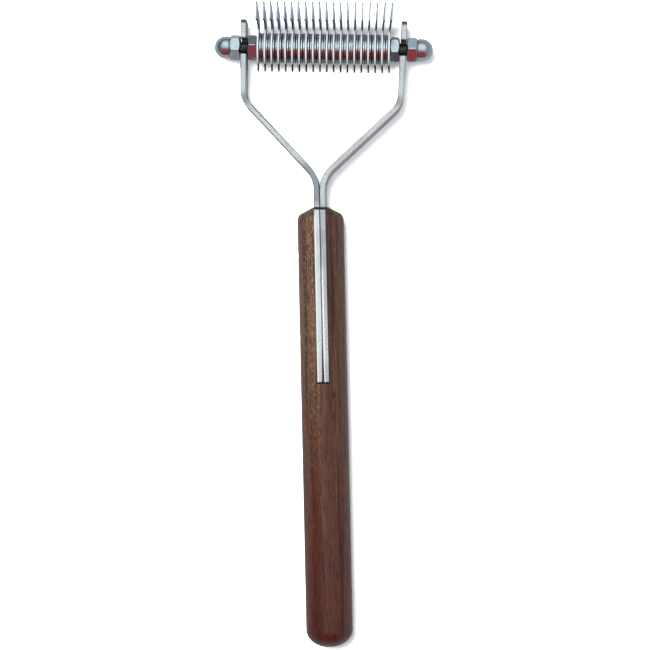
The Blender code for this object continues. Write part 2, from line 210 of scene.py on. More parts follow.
# Marks on the fork, most of them painted shade and painted highlights. A pair gives the place where
# a mark begins and the place where it is full. The painted shade at the tips, on the neck and the
# ends of the painted shade along the slope are measured up from the axle, the painted shade at the
# bends right and up from it. The tangs' painted light and shade is measured down from the handle's
# top and across from its middle.
TIP_SHADE_EDGE = (ARM_TIP - 0.0017, ARM_TIP - 0.0011)
BEND_SHADES = ((-0.0236, -0.0160), (0.0223, -0.0162))
BEND_SHADE_INNER = 0.0008
BEND_SHADE_OUTER = 0.0026
LEFT_OF_MIDDLE = (0.00005, -0.00015)
RIGHT_OF_MIDDLE = (-0.00005, 0.00015)
NECK_SHADE_UPPER_EDGE = (-0.0330, -0.0375)
NECK_SHADE_LOWER_EDGE = (-0.0485, -0.0462)
SLOPE_SHADE_INSET = (0.00038, 0.00052)
SLOPE_SHADE_UPPER_EDGE = (-0.0165, -0.0195)
SLOPE_SHADE_LOWER_EDGE = (-0.0400, -0.0360)
TANG_FADE_IN = (0.0016, 0.0024)
RIGHT_TANG_FADE_OUT = (0.040, 0.030)
OUTER_HIGHLIGHT_EDGE = (-0.00125, -0.00140)
OUTER_HIGHLIGHT_START = (0.0022, 0.0045)
INNER_HIGHLIGHT_LEFT_EDGE = (0.00012, 0.00024)
INNER_HIGHLIGHT_RIGHT_EDGE = (0.00075, 0.00060)
INNER_HIGHLIGHT_START = (0.014, 0.024)
GROOVE_DARK_EDGE = (0.0002, 0.0005)

# Painted shade on the washers: darker bands from this far below and above the axle
WASHER_PAINTED_SHADE = (0.06, 0.058, 0.062)
PAINTED_SHADE_BELOW = (-0.0002, -0.0028)
PAINTED_SHADE_ABOVE = (0.0020, 0.0040)

# Camera, floor and light
FOCAL_LENGTH = 121.8
SENSOR_WIDTH = 36.0
CAMERA_PLACE = (0.0250, -0.0067, 0.678)
CAMERA_TARGET = (0.00196, 0.00051, 0.0071)
CAMERA_ROLL = 1.05
FLOOR_HALF_WIDTH = 0.45
FLOOR_DROP = 0.00005
FLOOR_SEEN = (2.60, 2.60, 2.60)
FLOOR_MIRRORED = (0.52, 0.52, 0.53)
KEY_PLACE = (-0.215, 0.235, 1.10)
KEY_WIDTH = 0.476
KEY_POWER = 10.6

# The studio that the metal mirrors. Each layer lies over the ones before it: a part of the
# direction looked in, its value where the layer begins and where it is full, and a colour.
LEFT_WALL = (0.30, 0.29, 0.30)
WALL_AND_SKY_LAYERS = (
    ("X", -0.40, 0.60, (0.46, 0.58, 0.74)),
    ("Z", 0.34, 0.16, (0.27, 0.23, 0.25)),
    ("Z", 0.30, 0.80, (1.05, 1.24, 1.28)),
)
RED_WALL = (0.42, 0.075, 0.085)
RED_WALL_LAYERS = (
    ("Z", 0.80, 0.98, (0.36, 0.24, 0.23)),
    ("Z", 0.30, 0.10, (0.04, 0.03, 0.033)),
)
RED_WALL_BEGINS = 0.20
RED_WALL_FULL = -0.48
SIDE_LAYERS = (
    ("X", -0.24, -0.92, (0.20, 0.20, 0.22)),
    ("X", 0.34, 0.96, (0.36, 0.38, 0.48)),
)
SKY_LIGHTING = (0.25, 0.26, 0.27)
SKY_SEEN = (1.0, 1.0, 1.0)

HEX_SEGMENTS = 96
MERGE_DISTANCE = 0.000002
FLAT_ANGLE = 0.5
OVERCUT = 0.002
CHANCE = random.Random(11)


def middle(node):
    low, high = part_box(node)
    return (low + high) / 2.0


def extent(node):
    low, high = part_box(node)
    return high - low


AXLE = middle("threaded_rod")
PIN_NODES = ("upper_handle_pin", "lower_handle_pin")
HANDLE_WAY = (middle(PIN_NODES[1]) - middle(PIN_NODES[0])).normalized()
HANDLE_TOP = middle(PIN_NODES[0]) - HANDLE_WAY * PIN_PLACES[0]
HANDLE_ACROSS = Vector((0.0, 0.0, 1.0)).cross(HANDLE_WAY)
HANDLE_TOP_DROP = AXLE.y - HANDLE_TOP.y
HANDLE_PLACE = Matrix((
    (HANDLE_WAY.x, HANDLE_ACROSS.x, 0.0, HANDLE_TOP.x),
    (HANDLE_WAY.y, HANDLE_ACROSS.y, 0.0, HANDLE_TOP.y),
    (0.0, 0.0, 1.0, HANDLE_TOP.z),
    (0.0, 0.0, 0.0, 1.0)))


# ---------------------------------------------------------------- outlines

def arc(centre, radius, start, end, steps):
    """Points on an arc from one angle to another, both ends included."""
    points = []
    for step in range(steps + 1):
        angle = math.radians(start + (end - start) * step / steps)
        points.append((centre[0] + radius * math.cos(angle), centre[1] + radius * math.sin(angle)))
    return points


def circle(centre, radius, segments):
    """Points all the way round, with the first one not repeated."""
    return arc(centre, radius, 0.0, 360.0 - 360.0 / segments, segments - 1)


def bend(start, control, end, steps):
    """Points on a quadratic curve that leaves start towards control and arrives at end."""
    points = []
    for step in range(steps + 1):
        t = step / steps
        weights = ((1 - t) ** 2, 2 * t * (1 - t), t ** 2)
        x = weights[0] * start[0] + weights[1] * control[0] + weights[2] * end[0]
        y = weights[0] * start[1] + weights[1] * control[1] + weights[2] * end[1]
        points.append((x, y))
    return points


def rounded_path(corners, radii, steps):
    """A polyline whose inner corners are arcs: a list of (point, unit direction)."""
    path = []
    for index, corner in enumerate(corners):
        if index in (0, len(corners) - 1):
            other = corners[1] if index == 0 else corners[-2]
            way = (other - corner) if index == 0 else (corner - other)
            path.append((corner, way.normalized()))
            continue
        way_in = (corner - corners[index - 1]).normalized()
        way_out = (corners[index + 1] - corner).normalized()
        if radii[index] == 0.0:
            path.append((corner, (way_in + way_out).normalized()))
            continue
        turn = math.atan2(way_in.cross(way_out), way_in.dot(way_out))
        side = math.copysign(1.0, turn)
        start = corner - way_in * radii[index] * math.tan(abs(turn) / 2.0)
        centre = start + Vector((-way_in.y, way_in.x)) * side * radii[index]
        for step in range(steps + 1):
            way = Matrix.Rotation(turn * step / steps, 2) @ way_in
            point = centre - Vector((-way.y, way.x)) * side * radii[index]
            path.append((point, way))
    return path


def inset(outline, distances):
    """The outline moved inwards, each edge by its own distance; the outline runs clockwise."""
    moved = []
    count = len(outline)
    for index in range(count):
        here = Vector(outline[index])
        way_in = (here - Vector(outline[index - 1])).normalized()
        way_out = (Vector(outline[(index + 1) % count]) - here).normalized()
        inward_before = Vector((way_in.y, -way_in.x))
        inward_after = Vector((way_out.y, -way_out.x))
        before = distances[index - 1]
        after = distances[index]
        sine = inward_before.cross(inward_after)
        if abs(sine) < SHARP_CORNER_SINE:
            shift = (inward_before + inward_after).normalized() * (before + after) / 2.0
        else:
            x = (before * inward_after.y - after * inward_before.y) / sine
            y = (after * inward_before.x - before * inward_after.x) / sine
            shift = Vector((x, y))
        moved.append(tuple(here + shift))
    return moved


# ---------------------------------------------------------------- meshes

def mesh_from(bm, name, sharp_angle):
    """Closes a bmesh into a mesh, its faces out, smooth but for edges over an angle."""
    bmesh.ops.recalc_face_normals(bm, faces=bm.faces)
    mesh = bpy.data.meshes.new(name)
    bm.to_mesh(mesh)
    bm.free()
    mesh.shade_smooth()
    mesh.set_sharp_from_angle(angle=math.radians(sharp_angle))
    return mesh


def loft(name, rings, closed=False, sharp_angle=35.0):
    """A skin over rings of points; a ring of one point closes an end."""
    bm = bmesh.new()
    made = [[bm.verts.new(point) for point in ring] for ring in rings]
    pairs = list(zip(made, made[1:]))
    if closed:
        pairs.append((made[-1], made[0]))
    for first, second in pairs:
        count = max(len(first), len(second))
        for step in range(count):
            after = (step + 1) % count
            corners = [first[step % len(first)], first[after % len(first)]]
            corners += [second[after % len(second)], second[step % len(second)]]
            bm.faces.new(list(dict.fromkeys(corners)))
    return mesh_from(bm, name, sharp_angle)


def ring_about_x(x, radius, segments):
    if radius == 0.0:
        return [(x, 0.0, 0.0)]
    return [(x, y, z) for y, z in circle((0.0, 0.0), radius, segments)]


def turned(name, profile, segments, closed=False, sharp_angle=35.0):
    """A body turned about X from (place along X, radius) pairs."""
    rings = [ring_about_x(x, radius, segments) for x, radius in profile]
    return loft(name, rings, closed, sharp_angle)


def prism(name, outline, low, high, to_space):
    """A flat outline raised from low to high; to_space turns (u, v, height) into a point."""
    rings = [[to_space(u, v, height) for u, v in outline] for height in (low, high)]
    bm = bmesh.new()
    made = [[bm.verts.new(point) for point in ring] for ring in rings]
    for ring in made:
        bm.faces.new(ring)
    for step in range(len(outline)):
        after = (step + 1) % len(outline)
        bm.faces.new((made[0][step], made[0][after], made[1][after], made[1][step]))
    return mesh_from(bm, name, 35.0)


def carved(mesh, cutter_mesh, operation):
    """A new mesh: the first with the second taken away, or what the two share."""
    target = bpy.data.objects.new("carved_target", mesh)
    cutter = bpy.data.objects.new("carving_tool", cutter_mesh)
    for thing in (target, cutter):
        bpy.context.scene.collection.objects.link(thing)
    modifier = target.modifiers.new("carve", "BOOLEAN")
    modifier.operation = operation
    modifier.solver = "EXACT"
    modifier.object = cutter
    graph = bpy.context.evaluated_depsgraph_get()
    result = bpy.data.meshes.new_from_object(target.evaluated_get(graph))
    for thing in (target, cutter):
        bpy.data.objects.remove(thing, do_unlink=True)
    result.name = mesh.name
    return result


def tidy_flats(mesh, sharp_angle):
    """Joins the faces of each flat side and marks the edges again."""
    bm = bmesh.new()
    bm.from_mesh(mesh)
    bmesh.ops.remove_doubles(bm, verts=bm.verts, dist=MERGE_DISTANCE)
    bmesh.ops.dissolve_limit(
        bm, angle_limit=math.radians(FLAT_ANGLE), verts=bm.verts, edges=bm.edges)
    return mesh_from(bm, mesh.name, sharp_angle)


def add_piece(name, mesh, materials, body, nodes, place=None):
    for material in materials:
        mesh.materials.append(material)
    piece = bpy.data.objects.new(name, mesh)
    bpy.context.scene.collection.objects.link(piece)
    if place is not None:
        piece.matrix_world = place
    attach(piece, body)
    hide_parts(*nodes)
    return piece


def soften_edges(piece, width, segments, angle):
    """Rounded edges, with the flat faces kept flat in the shading."""
    modifier = piece.modifiers.new("soft_edges", "BEVEL")
    modifier.width = width
    modifier.segments = segments
    modifier.limit_method = "ANGLE"
    modifier.angle_limit = math.radians(angle)
    modifier.miter_outer = "MITER_ARC"
    modifier.use_clamp_overlap = True
    weighted = piece.modifiers.new("flat_faces", "WEIGHTED_NORMAL")
    weighted.keep_sharp = True


# ---------------------------------------------------------------- material nodes

class Nodes:
    """Short ways to add nodes to a node tree."""

    def __init__(self, tree):
        self.tree = tree

    def node(self, kind, settings=None, inputs=None):
        made = self.tree.nodes.new(kind)
        for key, value in (settings or {}).items():
            setattr(made, key, value)
        for key, value in (inputs or {}).items():
            self.feed(made, key, value)
        return made

    def feed(self, target, key, value):
        """Sets a socket to a constant, or links it to another node's output."""
        if isinstance(value, bpy.types.NodeSocket):
            self.tree.links.new(value, target.inputs[key])
        else:
            target.inputs[key].default_value = value

    def ranged(self, value, low, high, to_low=0.0, to_high=1.0):
        """A value spread smoothly from one range to another, and held at its ends."""
        inputs = {"Value": value, "From Min": low, "From Max": high}
        inputs.update({"To Min": to_low, "To Max": to_high})
        settings = {"interpolation_type": "SMOOTHSTEP"}
        return self.node("ShaderNodeMapRange", settings, inputs).outputs["Result"]

    def math(self, operation, first, second):
        made = self.node("ShaderNodeMath", {"operation": operation})
        self.feed(made, 0, first)
        self.feed(made, 1, second)
        return made.outputs["Value"]

    def product(self, first, *others):
        for other in others:
            first = self.math("MULTIPLY", first, other)
        return first

    def blend(self, share, first, second, mode="MIX"):
        """A share of the second colour over the first."""
        made = self.node("ShaderNodeMix", {"data_type": "RGBA", "blend_type": mode})
        self.feed(made, "Factor", share)
        for key, value in ((6, first), (7, second)):
            if isinstance(value, bpy.types.NodeSocket):
                self.feed(made, key, value)
            else:
                made.inputs[key].default_value = (value[0], value[1], value[2], 1.0)
        return made.outputs[2]


class Recipe(Nodes):
    """A material and its node tree, which can tell places on the object apart."""

    def __init__(self, name):
        self.material = bpy.data.materials.new(name)
        self.material.use_nodes = True
        super().__init__(self.material.node_tree)
        self.shader = self.tree.nodes["Principled BSDF"]
        self.place = self.node("ShaderNodeTexCoord").outputs["Object"]

    def coordinates(self, stretch=(1.0, 1.0, 1.0)):
        """Places on the piece itself, squeezed along some axes."""
        mapping = self.node("ShaderNodeMapping", {}, {"Vector": self.place, "Scale": stretch})
        return mapping.outputs["Vector"]

    def vector_math(self, operation, first, second, output="Value"):
        inputs = {0: first, 1: second}
        made = self.node("ShaderNodeVectorMath", {"operation": operation}, inputs)
        return made.outputs[output]

    def reach(self, origin, way):
        """How far a place lies from an origin in one direction."""
        offset = self.vector_math("SUBTRACT", self.place, origin, "Vector")
        return self.vector_math("DOT_PRODUCT", offset, way)

    def near(self, point, inner, outer):
        """One within the inner radius of a point, falling to nothing at the outer one."""
        return self.ranged(self.vector_math("DISTANCE", self.place, point), outer, inner)

    def noise(self, vector, scale, detail=2.0, roughness=0.5, distortion=0.0):
        inputs = {"Vector": vector, "Scale": scale, "Detail": detail}
        inputs.update({"Roughness": roughness, "Distortion": distortion})
        return self.node("ShaderNodeTexNoise", {}, inputs).outputs["Fac"]

    def bump(self, height, strength, distance):
        inputs = {"Height": height, "Strength": strength, "Distance": distance}
        return self.node("ShaderNodeBump", {}, inputs).outputs["Normal"]

    def finish(self, **sockets):
        for key, value in sockets.items():
            self.feed(self.shader, key.replace("_", " "), value)
        return self.material


def make_wood():
    """Oiled dark hardwood, its grain down the handle: a golden stripe on the left of its upper
    half, redder towards the far end."""
    recipe = Recipe("handle_wood")
    ways = (HANDLE_WAY, HANDLE_ACROSS, Vector((0.0, 0.0, 1.0)))
    reaches = {key: recipe.reach(HANDLE_TOP, way) for key, way in zip("XYZ", ways)}
    recipe.place = recipe.node("ShaderNodeCombineXYZ", {}, reaches).outputs["Vector"]
    noises = {}
    for name, (grain, *settings) in WOOD_NOISE.items():
        noises[name] = recipe.noise(recipe.coordinates((grain, 1.0, 1.0)), *settings)
    warp = noises["warp"]

    down = reaches["X"]
    waver = recipe.ranged(warp, 0.2, 0.8, -STRIPE_WAVER, STRIPE_WAVER)
    across = recipe.math("ADD", reaches["Y"], waver)
    stripe = recipe.product(
        recipe.ranged(across, *STRIPE_LEFT_EDGE),
        recipe.ranged(across, *STRIPE_RIGHT_EDGE),
        recipe.ranged(down, *STRIPE_FADE))

    band_share = recipe.ranged(noises["bands"], 0.42, 0.60, 0.0, 0.55)
    base = recipe.blend(recipe.math("MAXIMUM", band_share, stripe), WOOD_BROWN, WOOD_GOLDEN)
    streak_share = recipe.ranged(noises["streaks"], 0.50, 0.64, 0.0, 0.85)
    base = recipe.blend(streak_share, base, WOOD_DARK)
    redness = recipe.ranged(down, REDDER_FROM, HANDLE_LENGTH, 0.0, 0.85)
    reddened = recipe.product(redness, recipe.ranged(warp, 0.3, 0.7, 0.65, 1.0))
    base = recipe.blend(reddened, base, WOOD_RED)
    fibre_shade = recipe.ranged(noises["fibres"], 0.28, 0.72, 0.62, 1.35)
    shades = {key: fibre_shade for key in ("Red", "Green", "Blue")}
    fibre_grey = recipe.node("ShaderNodeCombineColor", {}, shades).outputs["Color"]
    base = recipe.blend(1.0, base, fibre_grey, "MULTIPLY")
    pore_share = recipe.ranged(noises["pores"], 0.60, 0.70, 0.0, 0.8)
    base = recipe.blend(pore_share, base, WOOD_PORE)
    fleck_share = recipe.ranged(noises["flecks"], 0.52, 0.66, 0.0, 0.55)
    fleck_share = recipe.product(fleck_share, recipe.math("ADD", stripe, 0.06))
    base = recipe.blend(fleck_share, base, WOOD_FLECK)
    end_grain = recipe.ranged(down, CONE_LENGTH + CONE_BLEND_LENGTH, 0.0, 0.0, 0.8)
    base = recipe.blend(end_grain, base, WOOD_END)

    roughness = recipe.ranged(noises["streaks"], 0.3, 0.7, 0.24, 0.36)
    height = recipe.math("SUBTRACT", recipe.product(noises["fibres"], 0.3), pore_share)
    normal = recipe.bump(height, 0.35, 0.00008)
    return recipe.finish(
        Base_Color=base, Roughness=roughness, Normal=normal, Specular_IOR_Level=0.45)


def make_metal(name, light, shade, grain, roughness, bump, stretch=(1.0, 1.0, 1.0), tint=None,
               metallic=1.0, shade_bands=False):
    """A worn metal whose colour and gloss wander between two values over a grain size. The bump
    is a pair of strength and distance; with shade bands, painted shade darkens it below and above
    the axle."""
    recipe = Recipe(name)
    fine = recipe.noise(recipe.coordinates(stretch), 1.0 / grain, 3.0, 0.6)
    wide = recipe.noise(recipe.coordinates(stretch), 0.18 / grain, 2.0, 0.5)
    base = recipe.blend(recipe.ranged(fine, 0.32, 0.68), shade, light)
    if tint is not None:
        base = recipe.blend(recipe.ranged(wide, 0.45, 0.7, 0.0, 0.6), base, tint)
    if shade_bands:
        # Painted shade: darker bands below and above the axle.
        up = recipe.reach(AXLE, Vector((0.0, 1.0, 0.0)))
        below = recipe.ranged(up, *PAINTED_SHADE_BELOW, 0.0, 0.62)
        above = recipe.ranged(up, *PAINTED_SHADE_ABOVE, 0.0, 0.75)
        base = recipe.blend(recipe.math("MAXIMUM", below, above), base, WASHER_PAINTED_SHADE)
    rough = recipe.ranged(wide, 0.3, 0.7, *roughness)
    normal = recipe.bump(fine, *bump)
    return recipe.finish(Base_Color=base, Metallic=metallic, Roughness=rough, Normal=normal)


def make_fork_steel():
    """Galvanised flat bar: pale and speckled, with painted shade at the tips, at the bends, on the
    left neck and in a strip along the left slope, darker in the relief grooves, with the left tang
    painted lighter and the right tang painted darker, and painted highlights along the edges of the
    tangs."""
    recipe = Recipe("fork_steel")
    place = recipe.coordinates()
    speckle = recipe.noise(place, SPECKLE_SCALE, 3.0, 0.65)
    cells = recipe.node("ShaderNodeTexVoronoi", {}, {"Vector": place, "Scale": SPANGLE_SCALE})
    parts = recipe.node("ShaderNodeSeparateColor", {}, {"Color": cells.outputs["Color"]})
    wide = recipe.noise(place, CLOUD_SCALE, 2.0, 0.5)
    up = recipe.reach(AXLE, Vector((0.0, 1.0, 0.0)))
    across = recipe.reach(HANDLE_TOP, HANDLE_ACROSS)
    down = recipe.reach(HANDLE_TOP, HANDLE_WAY)
    left_half = recipe.ranged(across, *LEFT_OF_MIDDLE)

    def speckled(low, high, to_low, to_high):
        return recipe.ranged(speckle, low, high, to_low, to_high)

    base = recipe.blend(speckled(0.36, 0.60, 0.0, 1.0), STEEL_DARK, STEEL_LIGHT)
    base = recipe.blend(recipe.ranged(parts.outputs["Red"], 0.0, 1.0, 0.0, 0.45), base,
                        STEEL_SPANGLE)
    base = recipe.blend(recipe.ranged(wide, 0.5, 0.75, 0.0, 0.35), base, STEEL_CLOUD)
    # Painted shade: the arms' tips are darker from here up.
    ragged = recipe.math("ADD", up, speckled(0.3, 0.7, -0.0003, 0.0003))
    base = recipe.blend(recipe.ranged(ragged, *TIP_SHADE_EDGE, 0.0, 0.85), base, STEEL_TIP_SHADE)

    # Painted shade: darker patches on the upper bends.
    for x, y in BEND_SHADES:
        spot = recipe.near(AXLE + Vector((x, y, ARM_DEPTH / 2.0)), BEND_SHADE_INNER, BEND_SHADE_OUTER)
        bend_shade = recipe.product(spot, speckled(0.35, 0.65, 0.25, 0.85))
        base = recipe.blend(bend_shade, base, STEEL_BEND_SHADE)
    # Painted shade on the left arm around its lower bend.
    neck_shade = recipe.product(
        recipe.ranged(up, *NECK_SHADE_UPPER_EDGE),
        left_half,
        recipe.ranged(up, *NECK_SHADE_LOWER_EDGE),
        speckled(0.3, 0.7, 0.60, 0.90))
    base = recipe.blend(neck_shade, base, STEEL_NECK_SHADE)

    # Painted shade: a dark strip along the inner edge of the left arm's slope.
    slope_start = AXLE + Vector((-LEG_X, -LEFT_UPPER_CORNER, 0.0))
    slope_end = Vector((-ARM_THICKNESS / 2.0, AXLE.y - LOWER_CORNER, slope_start.z))
    slope_way = (slope_end - slope_start).normalized()
    aside = recipe.reach(slope_start, Vector((-slope_way.y, slope_way.x, 0.0)))
    slope_shade = recipe.product(
        recipe.ranged(aside, *SLOPE_SHADE_INSET),
        left_half,
        recipe.ranged(up, *SLOPE_SHADE_UPPER_EDGE, 0.0, 0.75),
        recipe.ranged(up, *SLOPE_SHADE_LOWER_EDGE))
    base = recipe.blend(slope_shade, base, STEEL_SLOPE_SHADE)

    # Painted light and shade: the left tang is painted lighter, the right tang darker.
    tang_start = recipe.ranged(down, *TANG_FADE_IN)
    base = recipe.blend(recipe.product(tang_start, left_half, 0.55), base, STEEL_LEFT_TANG_LIGHT)
    right_tang_shade = recipe.product(
        tang_start,
        recipe.ranged(across, *RIGHT_OF_MIDDLE),
        recipe.ranged(down, *RIGHT_TANG_FADE_OUT, 0.0, 0.45))
    base = recipe.blend(right_tang_shade, base, STEEL_RIGHT_TANG_SHADE)

    # Painted highlights: near-white, less metallic strips along the tangs' edges.
    ragged_across = recipe.math("ADD", across, speckled(0.3, 0.7, -0.00008, 0.00008))
    inner_edge_highlight = recipe.product(
        recipe.ranged(ragged_across, *INNER_HIGHLIGHT_LEFT_EDGE),
        recipe.ranged(ragged_across, *INNER_HIGHLIGHT_RIGHT_EDGE),
        recipe.ranged(down, *INNER_HIGHLIGHT_START))
    edge_highlight = recipe.math("MAXIMUM", recipe.ranged(ragged_across, *OUTER_HIGHLIGHT_EDGE), inner_edge_highlight)
    edge_highlight = recipe.product(edge_highlight, recipe.ranged(down, *OUTER_HIGHLIGHT_START))
    base = recipe.blend(edge_highlight, base, STEEL_EDGE_HIGHLIGHT)

    # Darker, and rougher, in the relief groove at the shoulder.
    groove = -HANDLE_TOP_DROP - TANG_SHOULDER + RELIEF_WIDTH / 2.0
    off = recipe.math("ABSOLUTE", recipe.math("SUBTRACT", up, groove), 0.0)
    ragged_off = recipe.math("ADD", off, speckled(0.3, 0.7, -0.00015, 0.00015))
    groove_dark = recipe.ranged(ragged_off, *GROOVE_DARK_EDGE, 0.82, 0.0)
    base = recipe.blend(groove_dark, base, STEEL_GROOVE_DARK)

    rough = recipe.ranged(wide, 0.3, 0.7, 0.34, 0.46)
    rough = recipe.math("ADD", rough, recipe.product(groove_dark, 0.3))
    metallic = recipe.ranged(edge_highlight, 0.0, 1.0, 1.0, 0.35)
    normal = recipe.bump(speckle, 0.45, 0.00008)
    return recipe.finish(Base_Color=base, Metallic=metallic, Roughness=rough, Normal=normal)


WOOD = make_wood()
FORK_STEEL = make_fork_steel()
BLADE_SIDE = make_metal(
    "blade_side", (0.78, 0.88, 0.98), (0.66, 0.76, 0.88), 0.0009, (0.30, 0.40), (0.15, 0.00004),
    (1.0, 1.0, 0.15))
# Painted highlight: the blade's rims are near white and barely metallic.
BLADE_RIM_HIGHLIGHT = make_metal(
    "blade_rim_highlight", (0.98, 0.99, 1.00), (0.90, 0.92, 0.95), 0.0006, (0.42, 0.55), (0.2, 0.00004),
    metallic=0.05)
# Painted shade: the rim along the hook's back, darker than the blade's sides.
BLADE_BACK_SHADE = make_metal(
    "blade_back_shade", (0.52, 0.55, 0.60), (0.38, 0.41, 0.46), 0.0006, (0.30, 0.42), (0.15, 0.00004))
# Painted shade: near black on the ground edges and the tail spurs, where the neighbouring blades
# hide the light; the edges are really ground.
BLADE_EDGE_SHADE = make_metal(
    "blade_edge_shade", (0.15, 0.12, 0.15), (0.05, 0.04, 0.05), 0.0004, (0.30, 0.40), (0.2, 0.00003))
# The washers carry painted shade in bands below and above the axle.
WASHER_STEEL = make_metal(
    "washer_steel", (0.92, 0.95, 0.97), (0.56, 0.58, 0.60), 0.0006, (0.14, 0.26), (0.45, 0.00008),
    (0.5, 1.0, 1.0), shade_bands=True)
# Painted shade for the washer rims that face the neighbouring washers and blades.
WASHER_FACING_SHADE = make_metal(
    "washer_facing_shade", (0.10, 0.10, 0.105), (0.03, 0.03, 0.033), 0.0005, (0.35, 0.50), (0.3, 0.00006))
ZINC = make_metal(
    "bright_zinc", (0.56, 0.62, 0.66), (0.46, 0.52, 0.56), 0.0012, (0.12, 0.22), (0.12, 0.00006),
    tint=(0.58, 0.58, 0.56))
ROD_STEEL = make_metal(
    "rod_steel", (0.38, 0.43, 0.38), (0.045, 0.05, 0.045), 0.0005, (0.28, 0.42), (0.3, 0.00004))


# ---------------------------------------------------------------- handle and pins

def handle_profile():
    """(place down the handle, radius) pairs from its conical top to its rounded end."""
    profile = [(0.0, 0.0), (0.0, CONE_TOP_RADIUS)]
    cone_end = CONE_LENGTH + CONE_BLEND_LENGTH
    profile += bend((CONE_LENGTH, CONE_BASE_RADIUS),
                    (CONE_LENGTH + CONE_BLEND_LENGTH / 3.0, HANDLE_RADIUS),
                    (cone_end, HANDLE_RADIUS), 8)
    end_centre = HANDLE_LENGTH - HANDLE_END_LENGTH
    for step in range(1, HANDLE_STRAIGHT_STEPS):
        along = cone_end + (end_centre - cone_end) * step / HANDLE_STRAIGHT_STEPS
        profile.append((along, HANDLE_RADIUS))
    for along, radius in arc((0.0, 0.0), 1.0, 90.0, 0.0, 20):
        profile.append((end_centre + HANDLE_END_LENGTH * along, HANDLE_RADIUS * radius))
    profile[-1] = (HANDLE_LENGTH, 0.0)
    return profile


def make_handle():
    """The turned handle, with its slot and pin holes, set out in the frame's own axes."""
    mesh = turned("handle", handle_profile(), HANDLE_SEGMENTS, sharp_angle=HANDLE_SHARP_ANGLE)
    half = SLOT_WIDTH / 2.0
    outline = [(-OVERCUT, -half), (SLOT_LENGTH, -half), (SLOT_LENGTH, half), (-OVERCUT, half)]
    reach = HANDLE_RADIUS + OVERCUT
    slot = prism("slot", outline, -reach, reach, lambda along, across, up: (along, across, up))
    mesh = carved(mesh, slot, "DIFFERENCE")
    for place in PIN_PLACES:
        outline = circle((place, 0.0), PIN_HOLE_RADIUS, PIN_SEGMENTS)
        hole = prism("pin_hole", outline, -reach, reach,
                     lambda along, up, across: (along, across, up))
        mesh = carved(mesh, hole, "DIFFERENCE")
    mesh.transform(HANDLE_PLACE)
    mesh.set_sharp_from_angle(angle=math.radians(HANDLE_SHARP_ANGLE))
    add_piece("turned_handle", mesh, [WOOD], "handle_frame", ["handle"])


def make_pins():
    for node, place in zip(PIN_NODES, PIN_PLACES):
        radius = extent(node).y / 2.0
        half = extent(node).x / 2.0
        profile = [(-half, 0.0)]
        for angle in (0.0, 30.0, 60.0, 90.0):
            turn = math.radians(angle)
            profile.append((-half + PIN_END_ROUND * (1.0 - math.cos(turn)),
                            radius - PIN_END_ROUND * (1.0 - math.sin(turn))))
        profile += [(-x, r) for x, r in reversed(profile)]
        mesh = turned(node, profile, PIN_SEGMENTS)
        quarter_turn = Matrix.Rotation(math.radians(90.0), 4, "Z")
        stand = HANDLE_PLACE @ Matrix.Translation((place, 0.0, 0.0)) @ quarter_turn
        add_piece(node + "_steel", mesh, [ROD_STEEL], "handle_frame", [node], stand)


# ---------------------------------------------------------------- fork arms

def handle_point(across, along):
    """A point given across and down the handle, seen from the rod."""
    point = HANDLE_TOP - AXLE + HANDLE_ACROSS * across + HANDLE_WAY * along
    return Vector((point.x, point.y))


def arm_plan(side, leg_lean, upper_corner):
    """Plan of one arm about the rod: a strip bent at two corners, its tang tapered on the inner
    side at the end."""
    tang_offset = side * (ARM_THICKNESS + TANG_GAP) / 2.0
    lean = math.tan(math.radians(leg_lean))
    skew = HANDLE_WAY.x / -HANDLE_WAY.y
    handle_line = HANDLE_TOP.x + (LOWER_CORNER - HANDLE_TOP_DROP) * skew
    corners = [
        Vector((side * LEG_X - ARM_TIP * lean, ARM_TIP)),
        Vector((side * LEG_X + upper_corner * lean, -upper_corner)),
        Vector((handle_line + tang_offset, -LOWER_CORNER)),
        handle_point(tang_offset, TANG_LENGTH - TANG_TAPER_LENGTH),
        handle_point(tang_offset, TANG_LENGTH),
    ]
    radii = [0.0, UPPER_BEND_RADIUS, LOWER_BEND_RADIUS, 0.0, 0.0]
    inner = []
    outer = []
    for point, way in rounded_path(corners, radii, ARM_BEND_STEPS):
        normal = Vector((-way.y, way.x)) * side * ARM_THICKNESS / 2.0
        outer.append(tuple(point + normal))
        inner.append(tuple(point - normal))
    inner[-1] = tuple(handle_point(side * (TANG_GAP / 2.0 + TANG_TAPER), TANG_LENGTH))
    return outer + inner[::-1]


def arm_side_view():
    """Side view of an arm: rounded tip, notch open to the front, and a step to the deeper tang."""
    half = ARM_DEPTH / 2.0
    shoulder = -HANDLE_TOP_DROP - TANG_SHOULDER
    end = -HANDLE_TOP_DROP - TANG_LENGTH - OVERCUT
    corner = half - ARM_TIP_ROUND
    tip_centre = ARM_TIP - ARM_TIP_ROUND
    outline = arc((-corner, tip_centre), ARM_TIP_ROUND, 180.0, 90.0, ARM_TIP_STEPS)
    outline += arc((corner, tip_centre), ARM_TIP_ROUND, 90.0, 0.0, ARM_TIP_STEPS)
    outline += [(half, NOTCH_RADIUS)]
    outline += arc((0.0, 0.0), NOTCH_RADIUS, 90.0, 270.0, 16)
    outline += [(half, -NOTCH_RADIUS)]
    outline += [(half, shoulder + RELIEF_WIDTH)]
    outline += [(half - RELIEF_DEPTH, shoulder + RELIEF_WIDTH)]
    outline += [(half - RELIEF_DEPTH, shoulder), (TANG_DEPTH / 2.0, shoulder)]
    outline += [(TANG_DEPTH / 2.0, end), (-TANG_DEPTH / 2.0, end)]
    outline += [(-TANG_DEPTH / 2.0, shoulder), (-half, shoulder)]
    return outline


